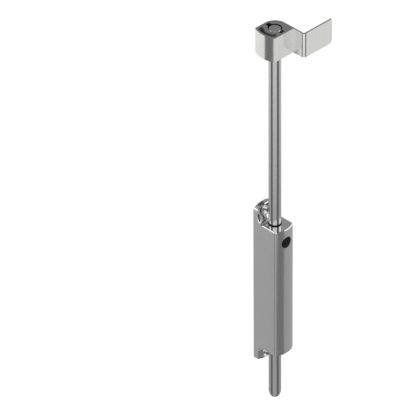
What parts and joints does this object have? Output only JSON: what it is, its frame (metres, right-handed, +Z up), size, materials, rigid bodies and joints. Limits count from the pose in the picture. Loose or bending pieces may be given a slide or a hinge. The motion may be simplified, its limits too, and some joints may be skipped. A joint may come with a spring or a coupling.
{
  "type": "gate bolt",
  "caption": "Surface-mounted gate drop bolt: round rod sliding and turning in a tall housing with lobed ends, friction brake behind a round cap, and a bent-blade handle on the rod's top.",
  "frame": {"origin": "centre of the housing's back face, which rests on the gate", "axes": "+Z up along the rod, +Y out of the housing's back face into the gate, -Y the front, +X the side the blade points to"},
  "size_m": [0.0848, 0.0574, 0.5618],
  "materials": {
    "housing_aluminium": "milled and matt anodised, natural",
    "handle_aluminium": "drawn and satin anodised, natural",
    "stainless_bar": "ground stainless bar",
    "bush_plastic": "plain moulded bearing plastic",
    "wiper_rubber": "matt black rubber",
    "small_steel": "plain stainless",
    "spring_steel": "drawn wire",
    "shoe_nylon": "natural nylon",
    "cap_plastic": "fine matt black"
  },
  "bodies": {
    "housing": {"housing": "housing_aluminium", "upper_bush": "bush_plastic", "lower_bush": "bush_plastic", "upper_wiper": "wiper_rubber", "lower_wiper": "wiper_rubber", "lower_ring": "small_steel", "brake_spring": "spring_steel", "brake_screw": "small_steel", "brake_cap": "cap_plastic"},
    "brake_shoe": {"brake_shoe": "shoe_nylon"},
    "collar": {"stop_collar": "small_steel", "collar_key": "small_steel", "dog_screw": "small_steel"},
    "rod": {"rod": "stainless_bar", "rod_rings": "small_steel", "handle": "handle_aluminium", "cross_pin": "small_steel", "handle_set_screws": "small_steel"}
  },
  "joints": [
    {"name": "rod_slide", "type": "slide", "parent": "housing", "child": "collar", "axis": [0, 0, 1], "range_m": [-0.075, 0.055]},
    {"name": "rod_turn", "type": "hinge", "parent": "collar", "child": "rod", "pos_m": [0, -0.022, 0.00465], "axis": [0, 0, 1], "range_deg": [-90, 0]},
    {"name": "brake_shoe_travel", "type": "slide", "parent": "housing", "child": "brake_shoe", "axis": [0, -1, 0], "range_m": [0, 0.0015], "stiffness_N_per_m": 5000, "springref_m": -0.003, "deforming": ["brake_spring"]}
  ]
}
